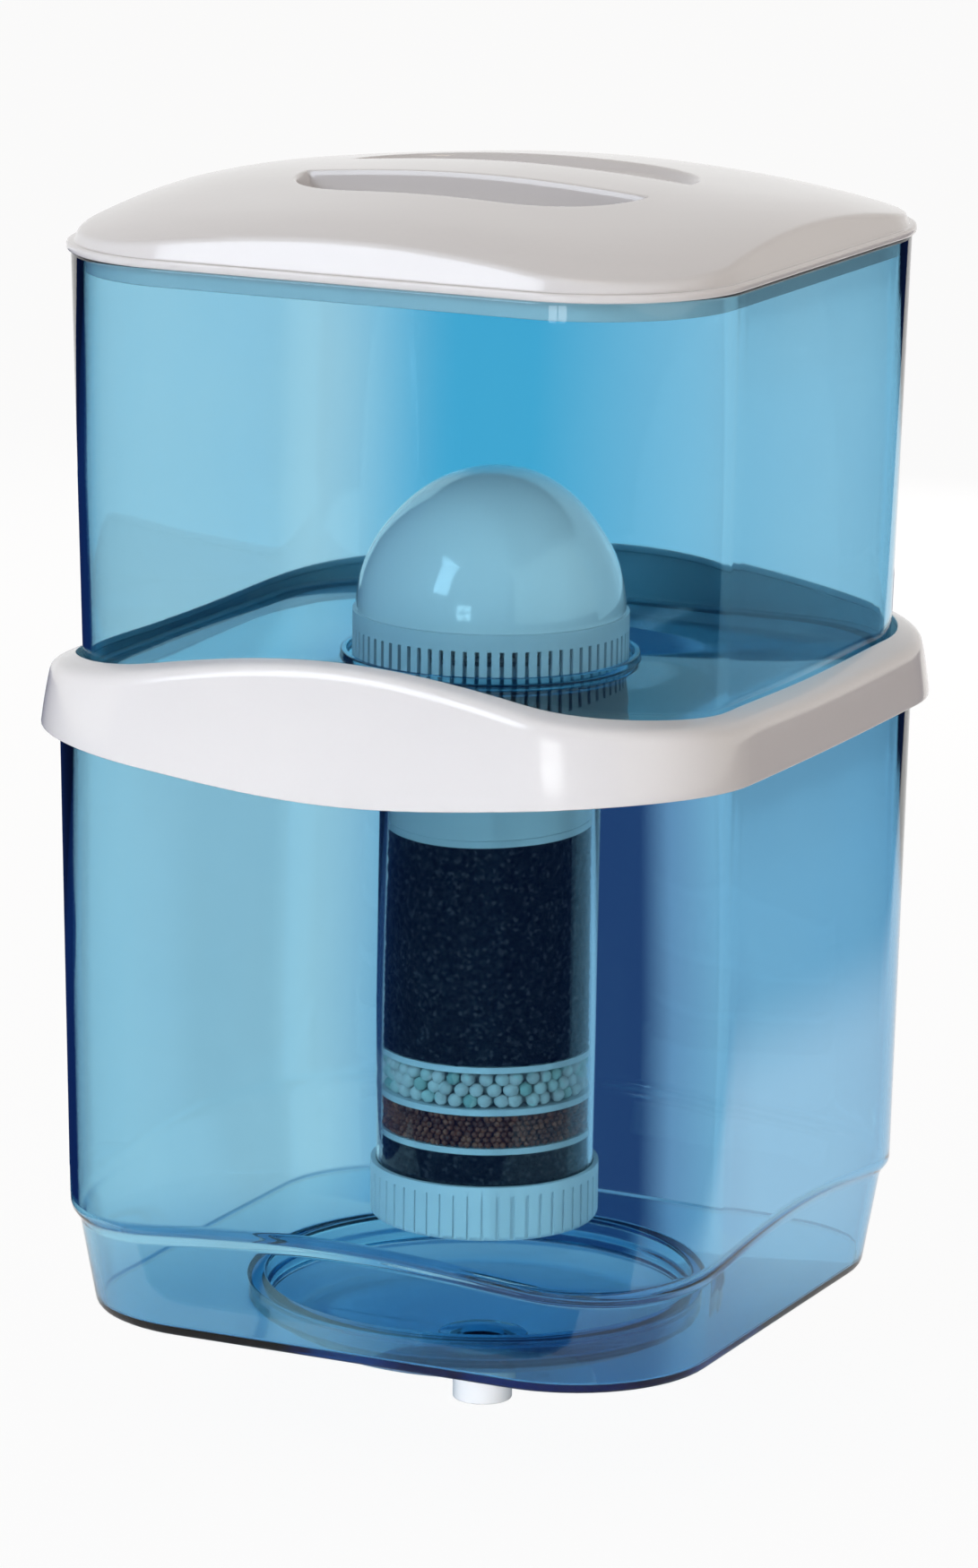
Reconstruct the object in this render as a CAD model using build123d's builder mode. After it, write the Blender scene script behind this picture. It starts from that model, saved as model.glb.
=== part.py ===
from build123d import *
import os
from math import cos, exp, log, pi

# Gravity water purifier that stands on a bottle dispenser: a clear upper tank for raw water, a white waist
# band, a clear lower tank for filtered water, a dome strainer and a hanging media cartridge.
# Millimetres, +Z up, front at -Y. The origin is on the axis, in the seat plane under the base.

# Lower tank
lower_rim_z = 232.0
lower_rim_half = 132.2
lower_draft = 2.9
tank_corner = 57.0
lower_wall = 2.8
lower_floor = 3.2
step_z = 36.0
step_front_rise = 7.0
step_side_rise = 9.0
step_in = 3.4
skirt_lean = 4.9
base_corner_set_in = 4.0
base_edge_round = 2.5

# Well that drops into the dispenser's mouth, with its stepped rim and outlet
ring_radius = 88.0
ring_drop = 9.0
ring_lip = 3.0
ring_step = 5.0
well_taper = 11.0
well_depth = 17.5
well_wall = 3.0
outlet_flat_radius = 19.0
outlet_depth = 28.0
boss_radius = 16.4
boss_height = 4.0
outlet_bore = 8.2
nipple_wall = 1.6
nipple_length = 13.0

# Outlet spigot
outlet_washer_thick = 2.0
spigot_length = 17.0
spigot_wall = 1.3
collar_step = 1.2
collar_height = 8.0
thread_clearance = 0.1

# Waist band
band_stand_off = 5.0
band_foot_flare = 2.2
band_head_lean = 7.7
band_corner_stand_off = 5.0
band_skin = 2.6
band_corner_rise = 15.9
band_front_rise = 13.0
band_side_fall = 3.0
band_corner_drop = 11.5
band_front_fall = 10.5
band_side_foot_fall = 1.0
band_edge_round = 4.0
band_head_slope_share = 0.55
band_head_soft = 3.0
ledge_thick = 3.5
ledge_reach = 9.0
locator_wall = 2.0
locator_height = 6.0
locator_clearance = 0.5
lip_clearance = 0.8

# Upper tank
upper_height = 158.5
upper_set_in = 6.5
upper_draft = 3.3
upper_wall = 2.6
upper_floor = 3.5
upper_edge_round = 4.0
collar_clearance = 1.9
collar_wall = 2.5
collar_rise = 3.0

# Lid
bead_height = 3.2
bead_overhang = 1.2
bead_round = 1.3
lid_set_in = 2.0
lid_wall_lean = 22.0
lid_skin = 2.6
crown_corner_rise = 14.0
crown_front_rise = 6.2
crown_side_rise = 6.0
shoulder_set_in = 10.8
shoulder_width = 13.4
shoulder_slope_share = 0.44
plug_depth = 7.0
plug_wall = 2.2
plug_clearance = 0.7
grip_width = 40.0
pocket_half_length = 66.0
pocket_width = 38.0
pocket_depth = 15.0
pocket_front_depth = 3.0

# Dome strainer on the upper tank's floor
strainer_radius = 51.1
strainer_wall = 2.0
strainer_height = 18.0
slot_height = 11.7
slot_width = 1.6
slot_count = 72
dome_set_in = 1.1
dome_skin = 2.2
dome_plug_depth = 4.0
dome_plug_wall = 1.8
dome_clearance = 0.3

# Ceramic element under the dome, and the stem that carries it through the floor
ceramic_set_in = 8.5
ceramic_side = 14.0
ceramic_wall = 7.0
ceramic_gasket_thick = 1.5
plate_clearance = 2.6
plate_thick = 3.5
floor_gasket_thick = 2.0
floor_gasket_radius = 32.0
stem_radius = 16.0
stem_bore = 11.0
stem_hole_clearance = 0.6
stem_below_floor = 29.0
nut_height = 8.0
nut_radius = 27.0
cartridge_clearance = 0.3

# Media cartridge, from its cap down to the screw cap
cap_gap = 1.0
cap_overhang = 0.8
cap_flange = 4.5
cap_skirt_wall = 2.5
cap_skirt_depth = 49.3
socket_wall = 4.0
socket_floor = 3.0
socket_outlet = 9.0
cap_gasket_thick = 1.0
tube_length = 190.5
tube_top_radius = 41.8
tube_draft = 1.5
tube_wall = 2.2
media_clearance = 0.4
divider_thick = 2.3
divider_hole = 2.0
divider_holes = 12
divider_circle = 24.0
ball_bed_height = 13.9
bead_bed_height = 12.6
lower_carbon_height = 26.7
felt_thick = 3.0
foot_seal_thick = 1.5
screw_cap_wall = 1.9
screw_cap_clearance = 0.4
screw_cap_height = 21.0
screw_cap_floor = 2.7
screw_cap_round = 2.5
screw_cap_plain = 3.5
groove_count = 50
groove_width = 1.3
groove_depth = 0.8
drain_hole = 3.0
drain_holes = 8
drain_circle = 24.0

# Wave surfaces are drawn a little past the outlines that they cut
wave_reach_share = 1.12
wave_cells = 26
overrun = 10.0

# Outlines and radii that follow from the sizes above
lower_step_half = lower_rim_half - lower_draft
skirt_top_half = lower_step_half - step_in
base_half = skirt_top_half - skirt_lean
base_corner = tank_corner - base_corner_set_in
well_radius = ring_radius - ring_step
well_foot_radius = well_radius - well_taper
nipple_radius = outlet_bore + nipple_wall
spigot_radius = nipple_radius + thread_clearance + spigot_wall
collar_radius = spigot_radius + collar_step
band_waist_half = lower_rim_half + band_stand_off
band_foot_half = band_waist_half + band_foot_flare
band_head_half = band_waist_half - band_head_lean
band_corner = tank_corner + band_corner_stand_off
upper_foot_half = lower_rim_half - upper_set_in
upper_rim_half = upper_foot_half + upper_draft
dome_radius = strainer_radius - dome_set_in
plate_radius = strainer_radius - strainer_wall - plate_clearance
ceramic_radius = plate_radius - ceramic_set_in
tube_foot_radius = tube_top_radius - tube_draft
cap_flange_radius = tube_top_radius + cap_overhang
screw_cap_radius = tube_foot_radius + screw_cap_clearance + screw_cap_wall

# Levels that follow from the stack
band_corner_top_z = lower_rim_z + band_corner_rise
band_corner_foot_z = lower_rim_z - band_corner_drop
ledge_z = lower_rim_z + ledge_thick
upper_floor_z = ledge_z + upper_floor
upper_rim_z = ledge_z + upper_height
plate_z = upper_floor_z + floor_gasket_thick
ceramic_z = plate_z + plate_thick + ceramic_gasket_thick
seam_z = upper_floor_z + strainer_height
cap_top_z = ledge_z - nut_height - cap_gap
tube_top_z = cap_top_z - cap_flange - cap_gasket_thick
tube_foot_z = tube_top_z - tube_length
cap_floor_z = tube_foot_z - foot_seal_thick
stem_foot_z = ledge_z - stem_below_floor
stack_top_z = tube_top_z - cap_skirt_depth


def hump(share):
    """One soft wave: 1 in the middle, 0 at -1 and at 1."""
    return (1 + cos(pi * max(-1, min(1, share)))) / 2


def surface_over(half, height):
    """A smooth sheet over the plan, from a height formula of x and y."""
    reach = half * wave_reach_share
    places = [reach * (2 * i / wave_cells - 1) for i in range(wave_cells + 1)]
    return Face.make_surface_from_array_of_points([[(x, y, height(x, y)) for x in places] for y in places])


def wave_over(half, corner_z, front_rise, side_rise):
    """A sheet that rises by front_rise in the middle of front and back, and by side_rise at the sides."""
    return surface_over(
        half, lambda x, y: corner_z + front_rise * hump(x / half) + side_rise * hump(y / half)
    )


def rounded_square(z, half, corner):
    """A rounded-square outline at one height."""
    with BuildSketch(Plane.XY.offset(z)) as outline:
        RectangleRounded(2 * half, 2 * half, corner)
    return outline.sketch


def ring(z, outer, inner):
    """A flat ring outline at one height."""
    with BuildSketch(Plane.XY.offset(z)) as outline:
        Circle(outer)
        Circle(inner, mode=Mode.SUBTRACT)
    return outline.sketch


def turned(points):
    """Half of a turned section, from (radius, height) points."""
    with BuildSketch(Plane.XZ) as section:
        with BuildLine():
            Polyline(*points, close=True)
        make_face()
    return section.sketch


def finish(piece, name):
    """Name one finished piece and write it out."""
    piece.part.label = name
    export_step(piece.part, f"parts/{name}.step")


def on_line(z, low_z, low, high_z, high):
    """Size at height z of a wall that runs straight from low to high."""
    return low + (high - low) * (z - low_z) / (high_z - low_z)


os.makedirs("parts", exist_ok=True)

# Lower tank: its cavity first, then the walls around it
step_foot_z = step_z - overrun
step_head_z = step_z + max(step_front_rise, step_side_rise) + overrun
skirt_head_half = on_line(step_head_z, 0, base_half, step_z, skirt_top_half)
upper_foot_of_wall = on_line(step_foot_z, step_z, lower_step_half, lower_rim_z, lower_rim_half)
skirt_floor_half = on_line(lower_floor, 0, base_half, step_z, skirt_top_half)
wall_over_rim = on_line(lower_rim_z + overrun, step_z, lower_step_half, lower_rim_z, lower_rim_half)

with BuildPart() as lower_cavity:
    loft(
        [
            rounded_square(step_foot_z, upper_foot_of_wall - lower_wall, tank_corner - lower_wall),
            rounded_square(lower_rim_z + overrun, wall_over_rim - lower_wall, tank_corner - lower_wall),
        ],
        ruled=True,
    )
    inner_step = wave_over(lower_step_half, step_z + lower_wall, step_front_rise, step_side_rise)
    extrude(inner_step, amount=lower_rim_z, dir=(0, 0, -1), mode=Mode.SUBTRACT)
    loft(
        [
            rounded_square(lower_floor, skirt_floor_half - lower_wall, base_corner - lower_wall),
            rounded_square(step_head_z, skirt_head_half - lower_wall, base_corner - lower_wall),
        ],
        ruled=True,
    )

well_inner = [
    (0, lower_floor + overrun),
    (ring_radius - well_wall, lower_floor + overrun),
    (ring_radius - well_wall, lower_floor - ring_drop),
    (well_radius - well_wall, lower_floor - ring_drop),
    (well_radius - well_wall, lower_floor - ring_drop - ring_lip),
    (well_foot_radius - well_wall, well_wall - well_depth),
    (outlet_flat_radius, well_wall - outlet_depth),
    (0, well_wall - outlet_depth),
]
well_outer = [
    (0, lower_floor),
    (ring_radius, lower_floor),
    (ring_radius, -ring_drop),
    (well_radius, -ring_drop),
    (well_radius, -ring_drop - ring_lip),
    (well_foot_radius, -well_depth),
    (outlet_flat_radius, -outlet_depth),
    (nipple_radius, -outlet_depth),
    (nipple_radius, -outlet_depth - nipple_length),
    (0, -outlet_depth - nipple_length),
]

with BuildPart() as lower_tank:
    loft(
        [
            rounded_square(step_foot_z, upper_foot_of_wall, tank_corner),
            rounded_square(lower_rim_z, lower_rim_half, tank_corner),
        ],
        ruled=True,
    )
    outer_step = wave_over(lower_step_half, step_z, step_front_rise, step_side_rise)
    extrude(outer_step, amount=lower_rim_z, dir=(0, 0, -1), mode=Mode.SUBTRACT)
    loft(
        [
            rounded_square(0, base_half, base_corner),
            rounded_square(step_head_z, skirt_head_half, base_corner),
        ],
        ruled=True,
    )
    fillet(lower_tank.edges().group_by(Axis.Z)[0], base_edge_round)
    revolve(turned(well_outer), axis=Axis.Z)
    add(lower_cavity.part, mode=Mode.SUBTRACT)
    revolve(turned(well_inner), axis=Axis.Z, mode=Mode.SUBTRACT)
    with BuildSketch(Plane.XY.offset(well_wall - outlet_depth)):
        Circle(boss_radius)
    extrude(amount=boss_height)
    with BuildSketch(Plane.XY.offset(-outlet_depth - nipple_length)):
        Circle(outlet_bore)
    extrude(amount=nipple_length + outlet_depth, mode=Mode.SUBTRACT)
finish(lower_tank, "lower_tank")

# Outlet: a washer under the well, and the spigot screwed over the nipple
spigot_top_z = -outlet_depth - outlet_washer_thick
nipple_foot_z = -outlet_depth - nipple_length
socket_radius = nipple_radius + thread_clearance

with BuildPart() as outlet_washer:
    extrude(ring(spigot_top_z, collar_radius, socket_radius), amount=outlet_washer_thick)
finish(outlet_washer, "outlet_washer")

with BuildPart() as outlet_spigot:
    with BuildSketch(Plane.XY.offset(spigot_top_z)):
        Circle(spigot_radius)
    extrude(amount=-spigot_length)
    extrude(ring(spigot_top_z, collar_radius, socket_radius), amount=-collar_height)
    with BuildSketch(Plane.XY.offset(spigot_top_z)):
        Circle(socket_radius)
    extrude(amount=nipple_foot_z - spigot_top_z, mode=Mode.SUBTRACT)
    with BuildSketch(Plane.XY.offset(spigot_top_z - spigot_length)):
        Circle(outlet_bore)
    extrude(amount=spigot_length, mode=Mode.SUBTRACT)
finish(outlet_spigot, "outlet_spigot")

# Waist band: a flared collar with wavy edges, hollow behind its skin, with a ledge for the upper tank
band_top_z = band_corner_top_z + band_front_rise
band_foot_z = band_corner_foot_z - band_front_fall
band_low_z = band_foot_z - overrun
band_high_z = band_top_z + overrun
lip_half = on_line(band_top_z, ledge_z, upper_foot_half, upper_rim_z, upper_rim_half) + lip_clearance
lip_corner = tank_corner - upper_wall
ledge_half = upper_foot_half - ledge_reach
ledge_corner = tank_corner - ledge_reach
locator_half = lower_rim_half - lower_wall - locator_clearance
locator_corner = tank_corner - lower_wall


def band_flare(inset):
    """The band's three outlines, all drawn in by one inset."""
    return [
        rounded_square(band_low_z, band_foot_half - inset, band_corner - inset),
        rounded_square(lower_rim_z, band_waist_half - inset, band_corner - inset),
        rounded_square(band_high_z, band_head_half - inset, band_corner - inset),
    ]


def band_height(x, y):
    """Top of the band: two crossed waves, falling away outside the lip."""
    reach = (abs(x) ** 5 + abs(y) ** 5) ** (1 / 5)
    past = band_head_soft * log(1 + exp((reach - lip_half) / band_head_soft))
    waves = band_front_rise * hump(x / band_waist_half) - band_side_fall * hump(y / band_waist_half)
    return band_corner_top_z + waves - band_head_slope_share * past


with BuildPart() as band_hollow:
    loft(band_flare(band_skin))
    lip_under = surface_over(band_waist_half, lambda x, y: band_height(x, y) - band_skin)
    extrude(lip_under, amount=band_high_z, dir=(0, 0, 1), mode=Mode.SUBTRACT)
    extrude(rounded_square(lower_rim_z, band_foot_half, band_corner), amount=ledge_thick, mode=Mode.SUBTRACT)

with BuildPart() as waist_band:
    loft(band_flare(0))
    band_top = surface_over(band_waist_half, band_height)
    extrude(band_top, amount=band_high_z, dir=(0, 0, 1), mode=Mode.SUBTRACT)
    fillet(waist_band.faces().sort_by(Axis.Z)[-1].edges(), band_edge_round)
    band_foot = wave_over(band_waist_half, band_corner_foot_z, -band_front_fall, -band_side_foot_fall)
    extrude(band_foot, amount=band_high_z, dir=(0, 0, -1), mode=Mode.SUBTRACT)
    add(band_hollow.part, mode=Mode.SUBTRACT)
    extrude(rounded_square(ledge_z, lip_half, lip_corner), amount=band_high_z, mode=Mode.SUBTRACT)
    extrude(rounded_square(band_low_z, ledge_half, ledge_corner), amount=band_high_z, mode=Mode.SUBTRACT)
    with BuildSketch(Plane.XY.offset(lower_rim_z)):
        RectangleRounded(2 * locator_half, 2 * locator_half, locator_corner)
        offset(amount=-locator_wall, mode=Mode.SUBTRACT)
    extrude(amount=-locator_height)
finish(waist_band, "waist_band")

# Upper tank: drafted walls on a flat floor, with the stem's hole and a low collar round the strainer
collar_inner = strainer_radius + collar_clearance

with BuildPart() as upper_tank:
    loft(
        [
            rounded_square(ledge_z, upper_foot_half, tank_corner),
            rounded_square(upper_rim_z, upper_rim_half, tank_corner),
        ],
        ruled=True,
    )
    fillet(upper_tank.edges().group_by(Axis.Z)[0], upper_edge_round)
    upper_floor_half = on_line(upper_floor_z, ledge_z, upper_foot_half, upper_rim_z, upper_rim_half)
    loft(
        [
            rounded_square(upper_floor_z, upper_floor_half - upper_wall, tank_corner - upper_wall),
            rounded_square(upper_rim_z, upper_rim_half - upper_wall, tank_corner - upper_wall),
        ],
        ruled=True,
        mode=Mode.SUBTRACT,
    )
    extrude(ring(upper_floor_z, collar_inner + collar_wall, collar_inner), amount=collar_rise)
    with BuildSketch(Plane.XY.offset(ledge_z)):
        Circle(stem_radius + stem_hole_clearance)
    extrude(amount=upper_floor, mode=Mode.SUBTRACT)
finish(upper_tank, "upper_tank")

# Lid: a bead over the tank's rim, a leaning wall, a crowned top and two finger pockets beside a grip
bead_half = upper_rim_half + bead_overhang
bead_top_z = upper_rim_z + bead_height
lid_half = bead_half - lid_set_in
lid_corner = tank_corner
shoulder_start = lid_half - shoulder_set_in
crown_corner_z = upper_rim_z + crown_corner_rise
crown_top_z = crown_corner_z + crown_front_rise + crown_side_rise
grip_half = grip_width / 2
pocket_floor_z = crown_top_z - pocket_depth
pocket_front_z = crown_top_z - crown_side_rise / 2 - pocket_front_depth
plug_half = upper_rim_half - upper_wall - plug_clearance
plug_corner = tank_corner - upper_wall


def crown_height(x, y):
    """Top of the lid: two crossed waves, falling away outside a soft shoulder line."""
    reach = (x**4 + y**4) ** (1 / 4)
    past = shoulder_width * log(1 + exp((reach - shoulder_start) / shoulder_width))
    waves = crown_front_rise * hump(x / lid_half) + crown_side_rise * hump(y / lid_half)
    return crown_corner_z + waves - shoulder_slope_share * past


def pocket(grow):
    """One finger pocket in front of the grip, with a floor that climbs away from it."""
    with BuildPart() as scoop:
        with BuildSketch(Plane.XY.offset(pocket_floor_z - grow)):
            with Locations((0, -grip_half)):
                SlotOverall(2 * (pocket_half_length + grow), 2 * (pocket_width + grow))
            with Locations((0, grow - grip_half)):
                Rectangle(
                    2 * (pocket_half_length + grow),
                    pocket_width + grow,
                    align=(Align.CENTER, Align.MIN),
                    mode=Mode.SUBTRACT,
                )
        extrude(amount=pocket_depth + overrun)
        with BuildSketch(Plane.YZ.offset(-pocket_half_length - overrun)):
            with BuildLine():
                Polyline(
                    (grow - grip_half, pocket_floor_z - grow),
                    (-grip_half - pocket_width - grow, pocket_front_z - grow),
                    (-grip_half - pocket_width - grow, pocket_floor_z - grow),
                    close=True,
                )
            make_face()
        extrude(amount=2 * (pocket_half_length + overrun), mode=Mode.SUBTRACT)
    return scoop.part


def lid_block(inset):
    """The leaning wall of the lid, drawn in by one inset and open to the crown."""
    with BuildPart() as block:
        extrude(
            rounded_square(bead_top_z, lid_half - inset, lid_corner - inset),
            amount=crown_top_z - bead_top_z,
            taper=lid_wall_lean,
        )
        sheet = surface_over(lid_half, lambda x, y: crown_height(x, y) - inset)
        extrude(sheet, amount=crown_top_z, dir=(0, 0, 1), mode=Mode.SUBTRACT)
    return block.part


lid_outside = lid_block(0)
lid_inside = lid_block(lid_skin)
scoop_wall = pocket(lid_skin)
scoop_hollow = pocket(0)
lid_top = surface_over(lid_half, crown_height)

with BuildPart() as lid:
    extrude(rounded_square(upper_rim_z, bead_half, tank_corner), amount=bead_height)
    fillet(lid.edges().filter_by(Plane.XY), bead_round)
    add(lid_outside)
    add(lid_inside, mode=Mode.SUBTRACT)
    extrude(
        rounded_square(upper_rim_z, lid_half - lid_skin, lid_corner - lid_skin),
        amount=bead_height,
        mode=Mode.SUBTRACT,
    )
    add([scoop_wall, mirror(scoop_wall, about=Plane.XZ, mode=Mode.PRIVATE)])
    extrude(lid_top, amount=crown_top_z, dir=(0, 0, 1), mode=Mode.SUBTRACT)
    add([scoop_hollow, mirror(scoop_hollow, about=Plane.XZ, mode=Mode.PRIVATE)], mode=Mode.SUBTRACT)
    with BuildSketch(Plane.XY.offset(upper_rim_z - plug_depth)):
        RectangleRounded(2 * plug_half, 2 * plug_half, plug_corner)
        offset(amount=-plug_wall, mode=Mode.SUBTRACT)
    extrude(amount=plug_depth + bead_height)
finish(lid, "lid")

# Dome strainer: a slotted ring that stands on the floor, and the dome that plugs into it
with BuildPart() as strainer_ring:
    extrude(ring(upper_floor_z, strainer_radius, strainer_radius - strainer_wall), amount=strainer_height)
    with BuildSketch(Plane.XY.offset(upper_floor_z)):
        with PolarLocations(strainer_radius, slot_count):
            Rectangle(4 * strainer_wall, slot_width)
    extrude(amount=slot_height, mode=Mode.SUBTRACT)
finish(strainer_ring, "strainer_ring")

dome_plug_radius = strainer_radius - strainer_wall - dome_clearance

with BuildPart() as dome_cover:
    with BuildSketch(Plane.XZ):
        with BuildLine():
            outside = CenterArc((0, seam_z), dome_radius, 0, 90)
            inside = CenterArc((0, seam_z), dome_radius - dome_skin, 0, 90)
            Line(outside @ 0, inside @ 0)
            Line(outside @ 1, inside @ 1)
        make_face()
    revolve(axis=Axis.Z)
    extrude(
        ring(seam_z - dome_plug_depth, dome_plug_radius, dome_plug_radius - dome_plug_wall),
        amount=dome_plug_depth,
    )
finish(dome_cover, "dome_cover")

# Ceramic element: a domed cup, open below, on its gasket
with BuildPart() as ceramic_dome:
    with BuildSketch(Plane.XZ):
        with BuildLine():
            crown_z = ceramic_z + ceramic_side
            outside = CenterArc((0, crown_z), ceramic_radius, 0, 90)
            inside = CenterArc((0, crown_z), ceramic_radius - ceramic_wall, 0, 90)
            Line(outside @ 1, inside @ 1)
            Polyline(
                outside @ 0,
                (ceramic_radius, ceramic_z),
                (ceramic_radius - ceramic_wall, ceramic_z),
                inside @ 0,
            )
        make_face()
    revolve(axis=Axis.Z)
finish(ceramic_dome, "ceramic_dome")

with BuildPart() as ceramic_gasket:
    extrude(
        ring(plate_z + plate_thick, ceramic_radius, ceramic_radius - ceramic_wall),
        amount=ceramic_gasket_thick,
    )
finish(ceramic_gasket, "ceramic_gasket")

# Stem: a plate under the ceramic with a hollow neck through the floor, clamped by a hexagon nut
with BuildPart() as filter_stem:
    extrude(ring(plate_z, plate_radius, stem_bore), amount=plate_thick)
    extrude(ring(plate_z, stem_radius, stem_bore), amount=stem_foot_z - plate_z)
finish(filter_stem, "filter_stem")

with BuildPart() as floor_gasket:
    extrude(
        ring(upper_floor_z, floor_gasket_radius, stem_radius + stem_hole_clearance),
        amount=floor_gasket_thick,
    )
finish(floor_gasket, "floor_gasket")

with BuildPart() as lock_nut:
    with BuildSketch(Plane.XY.offset(ledge_z)):
        RegularPolygon(nut_radius, 6)
        Circle(stem_radius + thread_clearance, mode=Mode.SUBTRACT)
    extrude(amount=-nut_height)
finish(lock_nut, "lock_nut")


# Cartridge: everything inside the tube follows the tube's slight taper
def tube_radius(z):
    """Outside of the tube at one height."""
    return on_line(z, tube_foot_z, tube_foot_radius, tube_top_z, tube_top_radius)


def fill_radius(z):
    """What fits in the tube's bore at one height."""
    return tube_radius(z) - tube_wall - media_clearance


with BuildPart() as cartridge_tube:
    wall_section = [
        (tube_foot_radius, tube_foot_z),
        (tube_top_radius, tube_top_z),
        (tube_top_radius - tube_wall, tube_top_z),
        (tube_foot_radius - tube_wall, tube_foot_z),
    ]
    revolve(turned(wall_section), axis=Axis.Z)
finish(cartridge_tube, "cartridge_tube")

# The upper carbon fills what the other layers leave below the cap's skirt
other_beds = felt_thick + lower_carbon_height + bead_bed_height + ball_bed_height
carbon_height = stack_top_z - cap_floor_z - other_beds - 4 * divider_thick
layers = [
    ("outlet_felt", felt_thick, 0),
    ("lower_carbon_bed", lower_carbon_height, 0),
    ("lower_divider", divider_thick, divider_holes),
    ("mineral_bead_bed", bead_bed_height, 0),
    ("middle_divider", divider_thick, divider_holes),
    ("mineral_ball_bed", ball_bed_height, 0),
    ("upper_divider", divider_thick, divider_holes),
    ("carbon_bed", carbon_height, 0),
    ("inlet_screen", divider_thick, divider_holes),
]
level = cap_floor_z
for name, height, holes in layers:
    with BuildPart() as layer:
        slug = [(0, level), (fill_radius(level), level), (fill_radius(level + height), level + height)]
        revolve(turned(slug + [(0, level + height)]), axis=Axis.Z)
        if holes:
            with BuildSketch(Plane.XY.offset(level)):
                with PolarLocations(divider_circle, holes):
                    Circle(divider_hole)
            extrude(amount=height, mode=Mode.SUBTRACT)
    finish(layer, name)
    level += height

flange_z = cap_top_z - cap_flange
socket_bore = stem_radius + cartridge_clearance
socket_floor_z = stem_foot_z - cap_gap
socket_foot_z = socket_floor_z - socket_floor
skirt_outer = fill_radius(tube_top_z)
skirt_foot_outer = fill_radius(stack_top_z)

with BuildPart() as cartridge_cap:
    cap_section = [
        (socket_bore, cap_top_z),
        (cap_flange_radius, cap_top_z),
        (cap_flange_radius, flange_z),
        (skirt_outer, flange_z),
        (skirt_foot_outer, stack_top_z),
        (skirt_foot_outer - cap_skirt_wall, stack_top_z),
        (skirt_outer - cap_skirt_wall, flange_z),
        (socket_bore + socket_wall, flange_z),
        (socket_bore + socket_wall, socket_foot_z),
        (socket_outlet, socket_foot_z),
        (socket_outlet, socket_floor_z),
        (socket_bore, socket_floor_z),
    ]
    revolve(turned(cap_section), axis=Axis.Z)
finish(cartridge_cap, "cartridge_cap")

with BuildPart() as cap_gasket:
    extrude(ring(tube_top_z, tube_top_radius, tube_top_radius - tube_wall), amount=cap_gasket_thick)
finish(cap_gasket, "cap_gasket")

# Screw cap at the foot of the cartridge, with a ribbed grip and drain holes, and its seal
screw_cap_foot_z = cap_floor_z - screw_cap_floor

with BuildPart() as screw_cap:
    with BuildSketch(Plane.XY.offset(screw_cap_foot_z)):
        Circle(screw_cap_radius)
    extrude(amount=screw_cap_height)
    fillet(screw_cap.edges().group_by(Axis.Z)[0], screw_cap_round)
    with BuildSketch(Plane.XY.offset(screw_cap_foot_z)):
        with PolarLocations(screw_cap_radius, groove_count):
            Rectangle(2 * groove_depth, groove_width)
    extrude(amount=screw_cap_height - screw_cap_plain, mode=Mode.SUBTRACT)
    with BuildSketch(Plane.XY.offset(cap_floor_z)):
        Circle(tube_foot_radius + screw_cap_clearance)
    extrude(amount=screw_cap_height, mode=Mode.SUBTRACT)
    with BuildSketch(Plane.XY.offset(screw_cap_foot_z)):
        with PolarLocations(drain_circle, drain_holes):
            Circle(drain_hole)
    extrude(amount=screw_cap_floor, mode=Mode.SUBTRACT)
finish(screw_cap, "screw_cap")

with BuildPart() as foot_seal:
    extrude(ring(cap_floor_z, tube_foot_radius, tube_foot_radius - tube_wall), amount=foot_seal_thick)
finish(foot_seal, "foot_seal")
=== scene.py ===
import random
from math import atan2, cos, exp, log, pi, radians, sin, sqrt, tan

import bmesh
import bpy
from mathutils import Matrix, Vector


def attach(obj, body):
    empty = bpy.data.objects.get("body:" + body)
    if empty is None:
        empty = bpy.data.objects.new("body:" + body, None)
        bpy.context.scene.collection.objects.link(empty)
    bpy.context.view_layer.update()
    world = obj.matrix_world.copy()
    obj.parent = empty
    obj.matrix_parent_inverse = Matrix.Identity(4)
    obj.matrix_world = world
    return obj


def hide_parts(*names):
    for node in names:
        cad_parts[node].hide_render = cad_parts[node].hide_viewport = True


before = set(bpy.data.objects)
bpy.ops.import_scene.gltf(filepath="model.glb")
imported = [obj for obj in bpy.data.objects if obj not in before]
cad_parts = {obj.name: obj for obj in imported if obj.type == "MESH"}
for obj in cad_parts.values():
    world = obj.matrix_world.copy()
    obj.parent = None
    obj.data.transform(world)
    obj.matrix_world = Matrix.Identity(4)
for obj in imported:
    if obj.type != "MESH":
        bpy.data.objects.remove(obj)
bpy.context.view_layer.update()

# Gravity water purifier: clear blue tanks, white waist band and lid, dome strainer and media cartridge.
# Sizes are written in millimetres, in the CAD frame, and become metres in the meshes.

scene = bpy.context.scene
scene.view_settings.view_transform = "Standard"
MM = 0.001

# Levels and outlines of the tanks
SEAT_Z, STEP_Z, LOWER_RIM_Z, LEDGE_Z, UPPER_RIM_Z, BEAD_TOP_Z = 0.0, 36.0, 232.0, 235.5, 394.0, 397.2
TANK_CORNER, BAND_CORNER = 57.0, 62.0
LOWER_STEP_HALF, LOWER_RIM_HALF, LOWER_WALL = 129.3, 132.2, 2.8
UPPER_FOOT_HALF, UPPER_RIM_HALF, UPPER_WALL = 125.7, 129.0, 2.6
LID_HALF, LID_LEAN = 128.2, tan(radians(22))
CORNER_STEPS, SIDE_STEPS, EASE_STEPS, TURN_STEPS = 16, 20, 4, 96


# Shapes

def hump(share):
    """One soft wave: 1 in the middle, 0 at -1 and at 1."""
    return (1 + cos(pi * max(-1, min(1, share)))) / 2


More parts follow.
